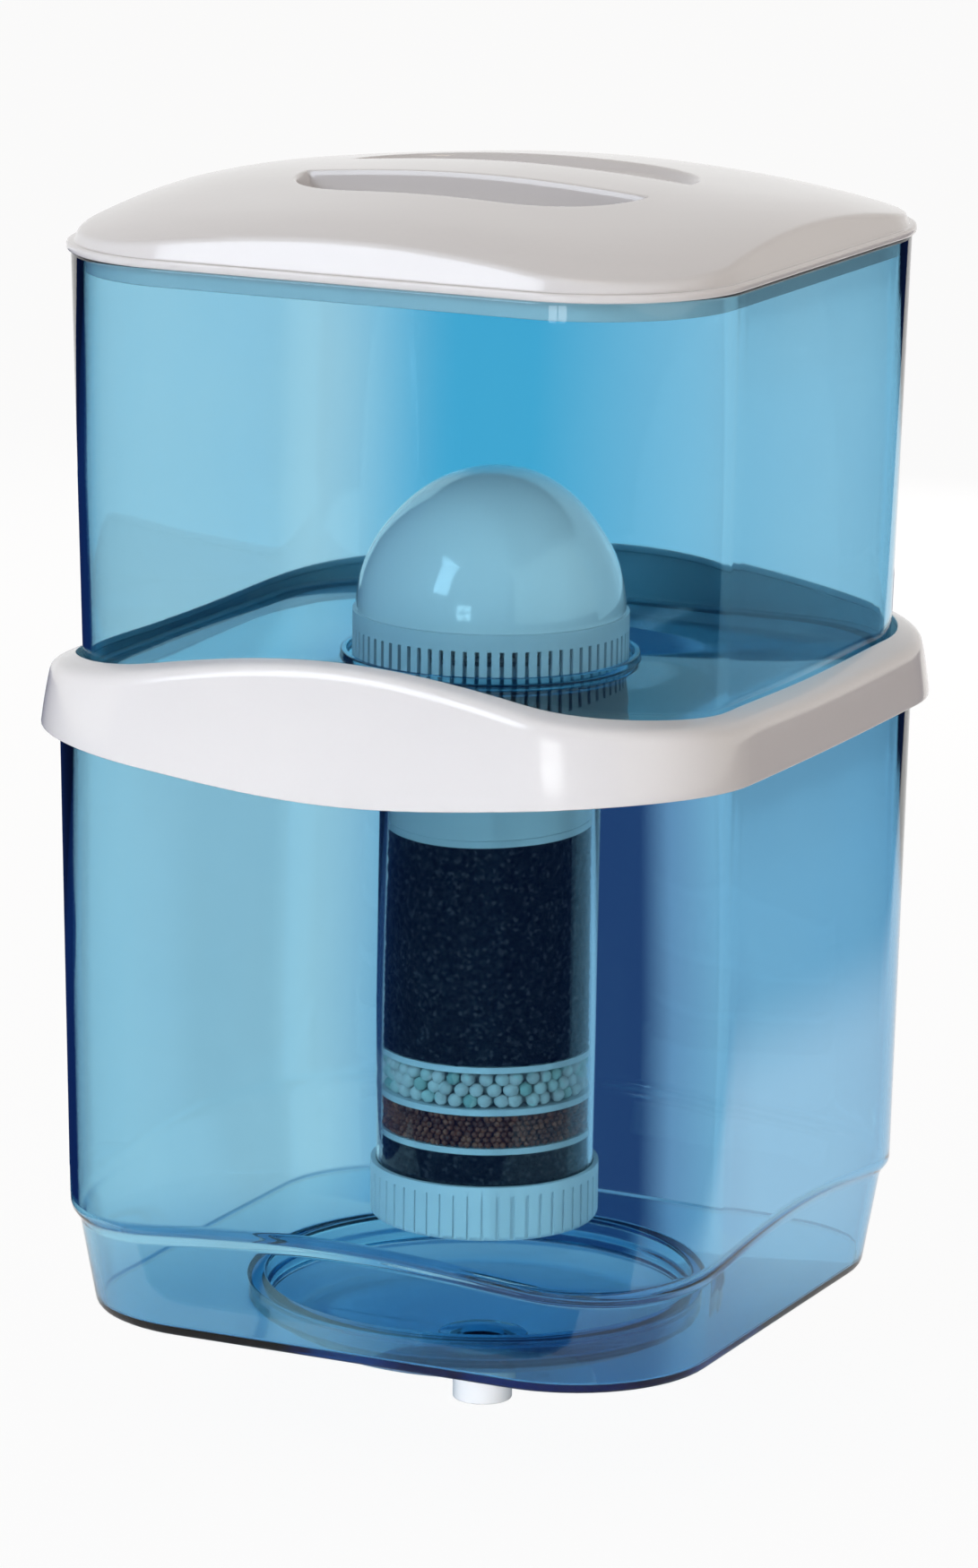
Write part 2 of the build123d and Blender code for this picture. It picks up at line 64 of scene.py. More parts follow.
def on_line(z, low_z, low, high_z, high):
    """Size at height z of a wall that runs straight from low to high."""
    return low + (high - low) * (z - low_z) / (high_z - low_z)


def square(half, corner):
    """Points round a rounded square, the same count for every size."""
    flat = half - corner
    turns = [pi / 2 * i / CORNER_STEPS for i in range(CORNER_STEPS + 1)]
    quarter = [(flat + corner * cos(a), flat + corner * sin(a)) for a in turns]
    quarter += [(flat * (1 - 2 * i / SIDE_STEPS), half) for i in range(1, SIDE_STEPS)]
    points = []
    for _ in range(4):
        points += quarter
        quarter = [(-y, x) for x, y in quarter]
    return points


SPOKES = [atan2(y, x) for x, y in square(LOWER_RIM_HALF, TANK_CORNER)]


def circle(radius):
    """Points round a circle, on the same spokes as a rounded square."""
    return [(radius * cos(a), radius * sin(a)) for a in SPOKES]


def level(points, height):
    """A ring of points at one height, or at a height that follows x and y."""
    rule = height if callable(height) else lambda x, y: height
    return [Vector((x, y, rule(x, y))) for x, y in points]


def rounded(rings, rounds):
    """The rings, with the corner at each ring that rounds lists eased by a radius."""
    eased = []
    for k, ring in enumerate(rings):
        if k not in rounds:
            eased.append(ring)
            continue
        before, after, radius = rings[k - 1], rings[(k + 1) % len(rings)], rounds[k]
        for step in range(EASE_STEPS + 1):
            t, points = step / EASE_STEPS, []
            for p, a, b in zip(ring, before, after):
                start = p + (a - p) * min(0.49, radius / max((a - p).length, radius))
                end = p + (b - p) * min(0.49, radius / max((b - p).length, radius))
                points.append(start * (1 - t) ** 2 + p * 2 * t * (1 - t) + end * t * t)
            eased.append(points)
    return eased


def put_ring(piece, ring):
    """Moves the selected ring of a mesh in edit mode to its place."""
    mesh = bmesh.from_edit_mesh(piece.data)
    place = mesh.verts.layers.int["place"]
    for vert in mesh.verts:
        if vert.select:
            vert.co = ring[vert[place]] * MM
    bmesh.update_edit_mesh(piece.data, loop_triangles=False, destructive=False)


def close_mesh(piece, smooth_angle):
    """Merges doubles, turns faces outwards and shades a piece that is in edit mode."""
    bpy.ops.mesh.select_all(action="SELECT")
    bpy.ops.mesh.remove_doubles(threshold=0.002 * MM)
    bpy.ops.mesh.normals_make_consistent(inside=False)
    bpy.ops.object.mode_set(mode="OBJECT")
    if "place" in piece.data.attributes:
        piece.data.attributes.remove(piece.data.attributes["place"])
    bpy.ops.object.shade_smooth_by_angle(angle=radians(smooth_angle))


def start_ring(name, count):
    """A new circle of points in edit mode, each with its place in the ring."""
    bpy.ops.object.select_all(action="DESELECT")
    bpy.ops.mesh.primitive_circle_add(vertices=count, radius=MM)
    piece = bpy.context.object
    piece.name = piece.data.name = name
    bpy.ops.object.mode_set(mode="EDIT")
    bpy.ops.mesh.select_mode(type="VERT")
    bpy.ops.mesh.select_all(action="SELECT")
    mesh = bmesh.from_edit_mesh(piece.data)
    place = mesh.verts.layers.int.new("place")
    for i, vert in enumerate(mesh.verts):
        vert[place] = i
    return piece


def moulded(name, rings, closed=True, smooth_angle=32):
    """A moulded shell, extruded ring by ring round the axis."""
    piece = start_ring(name, len(rings[0]))
    put_ring(piece, rings[0])
    for ring in rings[1:] + rings[: 1 if closed else 0]:
        bpy.ops.mesh.extrude_region_move()
        put_ring(piece, ring)
    close_mesh(piece, smooth_angle)
    return piece


def turned(name, section, rounds=None, closed=True, smooth_angle=32):
    """A turned piece, spun about the axis from its half section of (radius, height)."""
    section = [[Vector((r, 0, z))] for r, z in section]
    section = [ring[0] for ring in rounded(section, rounds or {})]
    piece = start_ring(name, len(section))
    put_ring(piece, section)
    if not closed:
        mesh = bmesh.from_edit_mesh(piece.data)
        place = mesh.verts.layers.int["place"]
        ends = {0, len(section) - 1}
        for vert in mesh.verts:
            vert.select = vert[place] in ends
        mesh.select_flush_mode()
        for edge in mesh.edges:
            edge.select = {v[place] for v in edge.verts} == ends
        bmesh.update_edit_mesh(piece.data)
        bpy.ops.mesh.select_mode(type="EDGE")
        bpy.ops.mesh.delete(type="EDGE")
        bpy.ops.mesh.select_mode(type="VERT")
        bpy.ops.mesh.select_all(action="SELECT")
    bpy.ops.mesh.spin(steps=TURN_STEPS, angle=2 * pi, center=(0, 0, 0), axis=(0, 0, 1))
    close_mesh(piece, smooth_angle)
    return piece


# Finishes

class Wire:
    """A shader value. Sums and products of wires add Math nodes."""

    def __init__(self, finish, socket):
        self.finish, self.socket = finish, socket

    def math(self, operation, first, second):
        return self.finish.node("ShaderNodeMath", {"operation": operation}, {0: first, 1: second})

    def __add__(self, other):
        return self.math("ADD", self, other)

    def __mul__(self, other):
        return self.math("MULTIPLY", self, other)

    def __rsub__(self, other):
        return self.math("SUBTRACT", other, self)

    __radd__, __rmul__ = __add__, __mul__


class Finish:
    """A node tree that is written as Python."""

    def __init__(self, name, owner=None):
        self.owner = owner or bpy.data.materials.new(name)
        self.owner.use_nodes = True
        self.tree = self.owner.node_tree
        self.tree.nodes.clear()

    def node(self, kind, settings=None, sockets=None, out=0):
        """One node: its settings first, then its sockets' values or links."""
        node = self.tree.nodes.new(kind)
        for name, value in (settings or {}).items():
            if name == "stops":
                for i, (place, shade) in enumerate(value):
                    ramp = node.color_ramp.elements
                    stop = ramp[i] if i < len(ramp) else ramp.new(place)
                    stop.position, stop.color = place, (*shade, 1)
            else:
                setattr(node, name, value)
        for name, value in (sockets or {}).items():
            if isinstance(value, Wire):
                self.tree.links.new(value.socket, node.inputs[name])
            else:
                node.inputs[name].default_value = value
        return Wire(self, node.outputs[out])

    def noise(self, scale, detail=2.0, stretch=(1, 1, 1)):
        """Noise on the piece's own coordinates, drawn out along an axis where stretch is small."""
        place = self.node("ShaderNodeTexCoord", out="Object")
        place = self.node("ShaderNodeMapping", None, {"Vector": place, "Scale": stretch})
        return self.node("ShaderNodeTexNoise", None, {"Vector": place, "Scale": scale, "Detail": detail})

    def cells(self, scale, out="Distance"):
        """Voronoi cells on the piece's own coordinates."""
        place = self.node("ShaderNodeTexCoord", out="Object")
        return self.node("ShaderNodeTexVoronoi", None, {"Vector": place, "Scale": scale}, out)

    def shades(self, factor, *stops):
        """A colour that runs through stops as factor goes from 0 to 1."""
        return self.node("ShaderNodeValToRGB", {"stops": stops}, {"Fac": factor})

    def bump(self, height, depth, strength=1.0):
        return self.node("ShaderNodeBump", None, {"Height": height, "Distance": depth * MM, "Strength": strength},
                         "Normal")

    def principled(self, sockets):
        return self.node("ShaderNodeBsdfPrincipled", None, sockets)

    def ray(self, *kinds):
        """1 on rays of any of these kinds, otherwise 0."""
        seen = self.node("ShaderNodeLightPath", out=kinds[0])
        for kind in kinds[1:]:
            seen = seen.math("MAXIMUM", seen, self.node("ShaderNodeLightPath", out=kind))
        return seen

    def mirrored(self):
        """1 on rays that a surface has mirrored on their way, otherwise 0."""
        depth = self.node("ShaderNodeLightPath", out="Glossy Depth")
        return depth.math("GREATER_THAN", depth, 0.5)

    def mix(self, factor, first, second):
        return self.node("ShaderNodeMixShader", None, {0: factor, 1: first, 2: second})

    def surface(self, shader, volume=None):
        sockets = {"Surface": shader, "Volume": volume} if volume else {"Surface": shader}
        kind = "ShaderNodeOutputWorld" if isinstance(self.owner, bpy.types.World) else "ShaderNodeOutputMaterial"
        self.tree.nodes.new(kind)
        for name, wire in sockets.items():
            self.tree.links.new(wire.socket, self.tree.nodes[-1].inputs[name])
        return self.owner


def clear_plastic(name, tints, ior, shadow_tint, absorb=None):
    """Clear moulded plastic with faint flow lines. Lamps shine through it."""
    finish = Finish(name)
    flow = finish.noise(90, 3, (1, 1, 0.08))
    glass = finish.principled({
        "Base Color": finish.shades(finish.noise(14), (0.3, tints[0]), (0.7, tints[1])),
        "Roughness": 0.012 + 0.03 * flow,
        "IOR": ior,
        "Transmission Weight": 1.0,
        "Normal": finish.bump(finish.noise(22, 1, (1, 1, 0.4)), 0.12, 0.25),
    })
    through = finish.node("ShaderNodeBsdfTransparent", None, {"Color": (*shadow_tint, 1)})
    body = None
    if absorb:
        shade, density = absorb
        body = finish.node("ShaderNodeVolumeAbsorption", None, {"Color": (*shade, 1), "Density": density})
    return finish.surface(finish.mix(finish.ray("Is Shadow Ray"), glass, through), body)


def white_plastic(name, tints, roughness, coat):
    """White moulded plastic with a faint orange-peel skin and soft handling marks."""
    finish = Finish(name)
    marks = finish.noise(24, 4)
    peel = finish.noise(420, 2)
    return finish.surface(finish.principled({
        "Base Color": finish.shades(finish.noise(9, 3), (0.3, tints[0]), (0.7, tints[1])),
        "Roughness": roughness + 0.1 * marks,
        "IOR": 1.5,
        "Coat Weight": coat,
        "Coat Roughness": 0.06,
        "Normal": finish.bump(peel, 0.05, 0.3),
    }))


def grained(name, size, tints, roughness, depth, shine=0.5):
    """A grainy solid: each grain has its own tint, with a rough skin."""
    finish = Finish(name)
    grains = finish.cells(1 / (size * MM), "Color")
    tint = finish.node("ShaderNodeSeparateColor", None, {"Color": grains})
    rough = finish.cells(1.7 / (size * MM))
    return finish.surface(finish.principled({
        "Base Color": finish.shades(tint, *tints),
        "Roughness": roughness + 0.25 * finish.noise(0.4 / (size * MM)),
        "Specular IOR Level": shine,
        "Normal": finish.bump(1 - rough, depth, 0.6),
    }))


BLUE_TANK = clear_plastic("blue_tank_clear", ((0.95, 0.98, 1.0), (0.985, 0.995, 1.0)), 1.49, (0.92, 1.0, 1.0),
                          ((0.02, 0.65, 0.82), 168.0))
CLEAR_TUBE = clear_plastic("cartridge_tube_clear", ((0.93, 0.96, 0.97), (0.97, 0.985, 0.99)), 1.38,
                           (0.95, 0.97, 0.98))
WHITE_GLOSS = white_plastic("white_gloss_moulding", ((0.735, 0.735, 0.75), (0.775, 0.775, 0.785)), 0.10, 0.3)
WHITE_DOME = white_plastic("white_dome_moulding", ((0.87, 0.88, 0.89), (0.90, 0.91, 0.92)), 0.04, 1.0)
WHITE_FILTER = white_plastic("white_filter_moulding", ((0.72, 0.75, 0.78), (0.76, 0.78, 0.80)), 0.28, 0.0)
SILICONE = white_plastic("milky_silicone", ((0.66, 0.68, 0.69), (0.74, 0.75, 0.76)), 0.42, 0.0)
CERAMIC = grained("porous_ceramic", 0.5, ((0.0, (0.74, 0.71, 0.64)), (1.0, (0.82, 0.80, 0.74))), 0.6, 0.1)
CARBON = grained("carbon_grains", 1.3, ((0.0, (0.004, 0.004, 0.005)), (0.8, (0.014, 0.014, 0.016)),
                                        (1.0, (0.05, 0.05, 0.055))), 0.45, 0.5, 0.1)
BALLS = grained("mineral_ball_glaze", 5.6, ((0.0, (0.58, 0.56, 0.54)), (0.6, (0.74, 0.70, 0.68)),
                                            (1.0, (0.55, 0.66, 0.62))), 0.22, 0.05)
GLASSY = grained("mineral_ball_green", 7.0, ((0.0, (0.30, 0.46, 0.42)), (1.0, (0.48, 0.60, 0.54))), 0.12, 0.03)
BEADS = grained("mineral_bead_brown", 2.6, ((0.0, (0.11, 0.026, 0.012)), (0.6, (0.21, 0.05, 0.022)),
                                            (1.0, (0.32, 0.10, 0.05))), 0.35, 0.06)
FELT = grained("filter_felt", 0.4, ((0.0, (0.68, 0.67, 0.63)), (1.0, (0.80, 0.79, 0.76))), 0.7, 0.15)


def dress(piece, material, slot, body, *nodes):
    """Gives a piece its finish, its body and the CAD nodes that it stands for."""
    piece.data.materials.clear()
    piece.data.materials.append(material)
    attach(piece, body)
    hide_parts(*nodes)


# Lower tank: rim, wall, wavy step, skirt, base, stepped well, cone, boss and nipple

LOWER_MID_Z, SKIRT_MID_Z, BASE_TOP_Z = 140.0, 20.0, 3.2
SKIRT_FOOT_HALF, SKIRT_TOP_HALF, SKIRT_CORNER = 121.0, 125.9, 53.0
STEP_FRONT_RISE, STEP_SIDE_RISE = 7.0, 9.0
STEP_LIFT, STEP_INNER_LIFT, STEP_ROUND = 1.8, 1.2, 2.2
RING_RADIUS, RING_DROP, RING_STEP, RING_LIP = 88.0, 9.0, 5.0, 3.0
WELL_TAPER, WELL_DEPTH, WELL_WALL = 11.0, 17.5, 3.0
MOUTH_RADIUS, MOUTH_Z, MOUTH_DROP = 81.5, -3.0, 1.0
CONE_RADIUS, CONE_Z, BOSS_RADIUS, BOSS_TOP_Z = 19.0, -28.0, 16.4, -21.0
NIPPLE_RADIUS, NIPPLE_END_Z, BORE_RADIUS = 9.8, -41.0, 8.2


def lower_half(z):
    return on_line(z, STEP_Z, LOWER_STEP_HALF, LOWER_RIM_Z, LOWER_RIM_HALF)


def skirt_half(z):
    return on_line(z, SEAT_Z, SKIRT_FOOT_HALF, STEP_Z, SKIRT_TOP_HALF)


def step_height(x, y):
    wave = STEP_FRONT_RISE * hump(x / LOWER_STEP_HALF) + STEP_SIDE_RISE * hump(y / LOWER_STEP_HALF)
    return STEP_Z + wave


def step_ring(half_at, corner, lift, inset):
    """The ring where a wall meets the wavy step."""
    ring = []
    for i, (x, y) in enumerate(square(LOWER_STEP_HALF, TANK_CORNER)):
        z = step_height(x, y) + lift
        ring.append(Vector((*square(half_at(z) - inset, corner - inset)[i], z)))
    return ring


def well_section():
    """Radius, height and edge round at each corner of the well, from the seat down and back up inside."""
    shelf, lip_z = RING_RADIUS - RING_STEP, -RING_DROP - RING_LIP
    cone_top, cone_in_z = shelf - WELL_TAPER, CONE_Z + WELL_WALL
    return [
        (RING_RADIUS, SEAT_Z, 0.8), (RING_RADIUS, -RING_DROP, 0.8), (shelf, -RING_DROP, 0.8), (shelf, lip_z, 0.8),
        (cone_top, -WELL_DEPTH, 2), (CONE_RADIUS, CONE_Z, 1), (NIPPLE_RADIUS, CONE_Z, 0),
        (NIPPLE_RADIUS, NIPPLE_END_Z, 0), (BORE_RADIUS, NIPPLE_END_Z, 0), (BORE_RADIUS, BOSS_TOP_Z, 0),
        (BOSS_RADIUS, BOSS_TOP_Z, 0.6), (BOSS_RADIUS, cone_in_z, 0), (CONE_RADIUS, cone_in_z, 0),
        (cone_top - WELL_WALL, WELL_WALL - WELL_DEPTH, 2), (shelf - WELL_WALL, lip_z + BASE_TOP_Z, 0.8),
        (shelf - WELL_WALL, MOUTH_Z - MOUTH_DROP, 0.6), (MOUTH_RADIUS, MOUTH_Z, 0.6),
        (MOUTH_RADIUS, BASE_TOP_Z, 0.8),
    ]


def lower_tank_rings():
    wall, inner, skirt_inner = LOWER_WALL, TANK_CORNER - LOWER_WALL, SKIRT_CORNER - LOWER_WALL
    rings = [
        (level(square(LOWER_RIM_HALF, TANK_CORNER), LOWER_RIM_Z), 0.6),
        (level(square(lower_half(LOWER_MID_Z), TANK_CORNER), LOWER_MID_Z), 0),
        (step_ring(lower_half, TANK_CORNER, STEP_LIFT, 0), STEP_ROUND),
        (step_ring(skirt_half, SKIRT_CORNER, -STEP_LIFT, 0), STEP_ROUND),
        (level(square(skirt_half(SKIRT_MID_Z), SKIRT_CORNER), SKIRT_MID_Z), 0),
        (level(square(skirt_half(SEAT_Z), SKIRT_CORNER), SEAT_Z), 2.5),
    ]
    rings += [(level(circle(radius), z), ease) for radius, z, ease in well_section()]
    rings += [
        (level(square(skirt_half(BASE_TOP_Z) - wall, skirt_inner), BASE_TOP_Z), 1.2),
        (level(square(skirt_half(SKIRT_MID_Z) - wall, skirt_inner), SKIRT_MID_Z), 0),
        (step_ring(skirt_half, SKIRT_CORNER, STEP_INNER_LIFT - STEP_LIFT, wall), STEP_ROUND),
        (step_ring(lower_half, TANK_CORNER, STEP_INNER_LIFT + STEP_LIFT, wall), STEP_ROUND),
        (level(square(lower_half(LOWER_MID_Z) - wall, inner), LOWER_MID_Z), 0),
        (level(square(LOWER_RIM_HALF - wall, inner), LOWER_RIM_Z), 0.6),
    ]
    return rounded([ring for ring, _ in rings], {k: ease for k, (_, ease) in enumerate(rings) if ease})


dress(moulded("lower_tank_clear", lower_tank_rings()), BLUE_TANK, "blue_tank", "base_unit", "lower_tank")


# Upper tank: a clear box with a flat floor, a hole for the stem and a low collar round the strainer

UPPER_MID_Z, UPPER_FLOOR_Z, STEM_HOLE_RADIUS = 315.0, 239.0, 16.6
COLLAR_RADIUS, COLLAR_INNER_RADIUS, COLLAR_TOP_Z = 55.5, 53.0, 242.0


def upper_half(z):
    return on_line(z, LEDGE_Z, UPPER_FOOT_HALF, UPPER_RIM_Z, UPPER_RIM_HALF)


def upper_tank_rings():
    wall, floor_z, inner = UPPER_WALL, UPPER_FLOOR_Z, TANK_CORNER - UPPER_WALL
    rings = [
        level(square(UPPER_FOOT_HALF, TANK_CORNER), LEDGE_Z),
        level(square(upper_half(UPPER_MID_Z), TANK_CORNER), UPPER_MID_Z),
        level(square(UPPER_RIM_HALF, TANK_CORNER), UPPER_RIM_Z),
        level(square(UPPER_RIM_HALF - wall, inner), UPPER_RIM_Z),
        level(square(upper_half(UPPER_MID_Z) - wall, inner), UPPER_MID_Z),
        level(square(upper_half(floor_z) - wall, inner), floor_z),
    ]
    rings += [level(circle(radius), z) for radius, z in (
        (COLLAR_RADIUS, floor_z), (COLLAR_RADIUS, COLLAR_TOP_Z), (COLLAR_INNER_RADIUS, COLLAR_TOP_Z),
        (COLLAR_INNER_RADIUS, floor_z), (STEM_HOLE_RADIUS, floor_z), (STEM_HOLE_RADIUS, LEDGE_Z))]
    return rounded(rings, {0: 4, 2: 1.25, 3: 0.6, 5: 1.6, 6: 0.4, 7: 0.5, 8: 0.5, 9: 0.4})


dress(moulded("upper_tank_clear", upper_tank_rings()), BLUE_TANK, "blue_tank", "upper_unit", "upper_tank")


# Waist band: flared skin with wavy edges, a lip, a ledge for the upper tank and a locating rib

BAND_WAIST_HALF, BAND_SKIN, LIP_HALF, LIP_CORNER = 137.2, 2.6, 127.03, 54.4
FLARE_Z, FLARE_HALF, FLARE_SLOPE, FLARE_CURVE = 200.0, 139.37, 0.06875, 0.0018222
BAND_TOP_Z, TOP_FRONT_RISE, TOP_SIDE_FALL, TOP_SLOPE, TOP_SOFT = 247.9, 13.0, 3.0, 0.55, 3.0
BAND_FOOT_Z, FOOT_FRONT_FALL, FOOT_SIDE_FALL = 220.5, 10.5, 1.0
LEDGE_HALF, LEDGE_CORNER = 116.7, 48.0
RIB_HALF, RIB_CORNER, RIB_THICK, RIB_FOOT_Z = 126.9, 52.2, 2.0, 226.0


def band_half(z):
    """Half width of the band's skin, which flares to its foot and leans in at its head."""
    return FLARE_HALF - (z - FLARE_Z) * (FLARE_SLOPE + FLARE_CURVE * (z - LOWER_RIM_Z))


def band_top(x, y):
    """Height of the band's wavy top, which slopes down outside the lip."""
    reach = (abs(x) ** 5 + abs(y) ** 5) ** 0.2
    fall = TOP_SLOPE * TOP_SOFT * log(1 + exp((reach - LIP_HALF) / TOP_SOFT))
    wave = TOP_FRONT_RISE * hump(x / BAND_WAIST_HALF) - TOP_SIDE_FALL * hump(y / BAND_WAIST_HALF)
    return BAND_TOP_Z + wave - fall


def band_foot(x, y):
    wave = FOOT_FRONT_FALL * hump(x / BAND_WAIST_HALF) + FOOT_SIDE_FALL * hump(y / BAND_WAIST_HALF)
    return BAND_FOOT_Z - wave


def band_rings():
    plan = square(BAND_WAIST_HALF, BAND_CORNER)

    def skin_point(i, z, inset):
        return square(band_half(z) - inset, BAND_CORNER - inset)[i]

    def skin_ring(share, inset):
        """A ring of the band's skin, at a share of the way from its foot to its sloping top."""
        ring = []
        for i, spot in enumerate(plan):
            foot = top = band_foot(*spot)
            for _ in range(12):
                top = band_top(*skin_point(i, top, inset)) - inset
            z = foot + share * (top - foot)
            ring.append(Vector((*skin_point(i, z, inset), z)))
        return ring

    def lip_ring(drop):
        return [Vector((*p, band_top(*p) - drop)) for p in square(LIP_HALF, LIP_CORNER)]

    def skin_level(z):
        return level(square(band_half(z) - BAND_SKIN, BAND_CORNER - BAND_SKIN), z)

    ledge, rib = square(LEDGE_HALF, LEDGE_CORNER), square(RIB_HALF, RIB_CORNER)
    rib_outer = square(RIB_HALF + RIB_THICK, RIB_CORNER + RIB_THICK)
    rings = [skin_ring(k / 8, 0) for k in (0, 1, 2, 3, 4, 5, 6, 8)] + [
        lip_ring(0), lip_ring(BAND_SKIN), skin_ring(1, BAND_SKIN), skin_level(LEDGE_Z),
        level(ledge, LEDGE_Z), level(ledge, LOWER_RIM_Z), level(rib, LOWER_RIM_Z), level(rib, RIB_FOOT_Z),
        level(rib_outer, RIB_FOOT_Z), level(rib_outer, LOWER_RIM_Z),
        skin_level(LOWER_RIM_Z), skin_ring(0, BAND_SKIN),
    ]
    return rounded(rings, {0: 0.7, 7: 4, 8: 0.7, 9: 0.5, 19: 0.7})


dress(moulded("waist_band_moulding", band_rings()), WHITE_GLOSS, "white_gloss", "base_unit", "waist_band")


# Lid: crowned top, leaning wall, bead and plug, with two finger pockets beside a grip

PLUG_HALF, PLUG_CORNER, PLUG_WALL, PLUG_Z, BEAD_HALF = 125.7, 54.4, 2.2, 387.0, 130.2
CROWN_Z, CROWN_FRONT_RISE, CROWN_SIDE_RISE = 408.0, 6.2, 6.0
SHOULDER_REACH, SHOULDER_WIDTH, SHOULDER_SLOPE = 117.4, 13.4, 0.44
LID_SKIN, GRIP_HALF, POCKET_LENGTH, POCKET_WIDTH, POCKET_EASE = 2.6, 20.0, 66.0, 38.0, 6.0
POCKET_GRIP_Z, POCKET_FAR_Z = 405.2, 414.2
CROWN_RINGS, EDGE_ROWS, FLOOR_ROWS, GRIP_EDGE_SHARPNESS = 20, 10, 5, 2.0


def crown(x, y):
    """Height of the lid's crown, which bends down towards its shoulders."""
    reach = (x ** 4 + y ** 4) ** 0.25
    fall = SHOULDER_SLOPE * SHOULDER_WIDTH * log(1 + exp((reach - SHOULDER_REACH) / SHOULDER_WIDTH))
    return CROWN_Z + CROWN_FRONT_RISE * hump(x / LID_HALF) + CROWN_SIDE_RISE * hump(y / LID_HALF) - fall


def pocket_floor(y):
    return on_line(abs(y), GRIP_HALF, POCKET_GRIP_Z, GRIP_HALF + POCKET_WIDTH, POCKET_FAR_Z)


def lid_wall_ring(inset, drop):
    """The ring where the leaning wall meets the crown."""
    ring = []
    for i in range(len(SPOKES)):
        z = CROWN_Z
        for _ in range(30):
            lean = (z + drop - BEAD_TOP_Z) * LID_LEAN + inset
            x, y = square(LID_HALF - lean, TANK_CORNER - lean)[i]
            z = crown(x, y) - drop
        ring.append(Vector((x, y, z)))
    return ring


class Scoops:
    """The pair of finger pockets with the grip between them, as seen from one side of the lid's skin."""

    def __init__(self, grow, drop):
        self.flat, self.end = POCKET_LENGTH - POCKET_WIDTH, POCKET_WIDTH + grow
        self.length, self.grip = self.flat + self.end, GRIP_HALF - grow / GRIP_EDGE_SHARPNESS
        self.width, self.drop = POCKET_WIDTH + grow + grow / GRIP_EDGE_SHARPNESS, drop
        corner = atan2(self.grip, self.length)
        self.ends = [i for i, a in enumerate(SPOKES) if abs(sin(a)) < sin(corner) * 0.97]
        snapped = {min(range(len(SPOKES)), key=lambda i: abs(SPOKES[i] - a))
                   for a in (corner, -corner, pi - corner, corner - pi)}
        self.ends = [i for i in self.ends if i not in snapped]
        self.ring = [self.rim(i, i in snapped) for i in range(len(SPOKES))]
        self.front = sorted((i for i in range(len(SPOKES)) if i not in self.ends and self.ring[i].y < 0),
                            key=lambda i: self.ring[i].x)
        self.bar = sorted(self.ring[i].y for i in self.ends if self.ring[i].x > 0)

    def rim(self, i, snapped):
        """Where spoke i crosses the pockets' rim: a straight far side between two round ends."""
        c, s = abs(cos(SPOKES[i])), abs(sin(SPOKES[i]))
        if snapped:
            x, y = self.length, self.grip
        elif i in self.ends:
            x, y = self.length, self.length * s / c
        else:
            t = (self.grip + self.width) / s
            if t * c > self.flat:
                a = (c / self.end) ** 2 + (s / self.width) ** 2
                b = c * self.flat / self.end ** 2 + s * self.grip / self.width ** 2
                k = (self.flat / self.end) ** 2 + (self.grip / self.width) ** 2 - 1
                t = (b + sqrt(b * b - a * k)) / a
            x, y = t * c, t * s
        x = x if cos(SPOKES[i]) > 0 else -x
        y = y if sin(SPOKES[i]) > 0 else -y
        return Vector((x, y, crown(x, y) - self.drop))

    def past_flat(self, x):
        """How far x is into a round end, as a share of the end."""
        return min(1, max(0, abs(x) - self.flat) / self.end)

    def height(self, x, y):
        """The skin's height, which eases down from the rim and from the grip to the pocket's floor."""
        top = crown(x, y)
        from_grip = y - self.grip
        from_rim = (1 - sqrt(self.past_flat(x) ** 2 + (from_grip / self.width) ** 2)) * self.width
        from_grip *= GRIP_EDGE_SHARPNESS
        near = min(from_grip, from_rim)
        if near < 0.01:
            return top - self.drop
        inside = near * (1 + (near / max(from_grip, from_rim)) ** 4) ** -0.25
        t = min(1, inside / POCKET_EASE)
        return top - self.drop - (top - pocket_floor(y)) * t ** 3 * (10 - 15 * t + 6 * t * t)

    def column(self, x):
        """Points across both pockets and the grip at one x, from the front rim to the back rim."""
        far = self.grip + self.width * sqrt(1 - self.past_flat(x) ** 2)
        ease = min(POCKET_EASE, (far - self.grip) / 2)
        grip_ease = ease / GRIP_EDGE_SHARPNESS
        floor = far - self.grip - ease - grip_ease
        rows = [far - ease * k / EDGE_ROWS for k in range(EDGE_ROWS)]
        rows += [far - ease - floor * k / FLOOR_ROWS for k in range(FLOOR_ROWS + 1)]
        rows += [self.grip + grip_ease * (1 - k / EDGE_ROWS) for k in range(1, EDGE_ROWS + 1)]
        half = [(y, self.height(x, y)) for y in rows]
        bar = [(y, crown(x, y) - self.drop) for y in self.bar]
        points = [(-y, z) for y, z in half] + bar + half[::-1]
        return [Vector((x, y, z)) for y, z in points]

    def patch(self, name):
        """A grid, with each column put in its place."""
        columns = [self.column(self.ring[i].x) for i in self.front]
        across, along = len(columns) - 1, len(columns[0]) - 1
        bpy.ops.object.select_all(action="DESELECT")
        bpy.ops.mesh.primitive_grid_add(x_subdivisions=across, y_subdivisions=along, size=2)
        piece = bpy.context.object
        piece.name = piece.data.name = name
        for vert in piece.data.vertices:
            column, row = round((vert.co.x + 1) / 2 * across), round((vert.co.y + 1) / 2 * along)
            vert.co = columns[column][row] * MM
        return piece


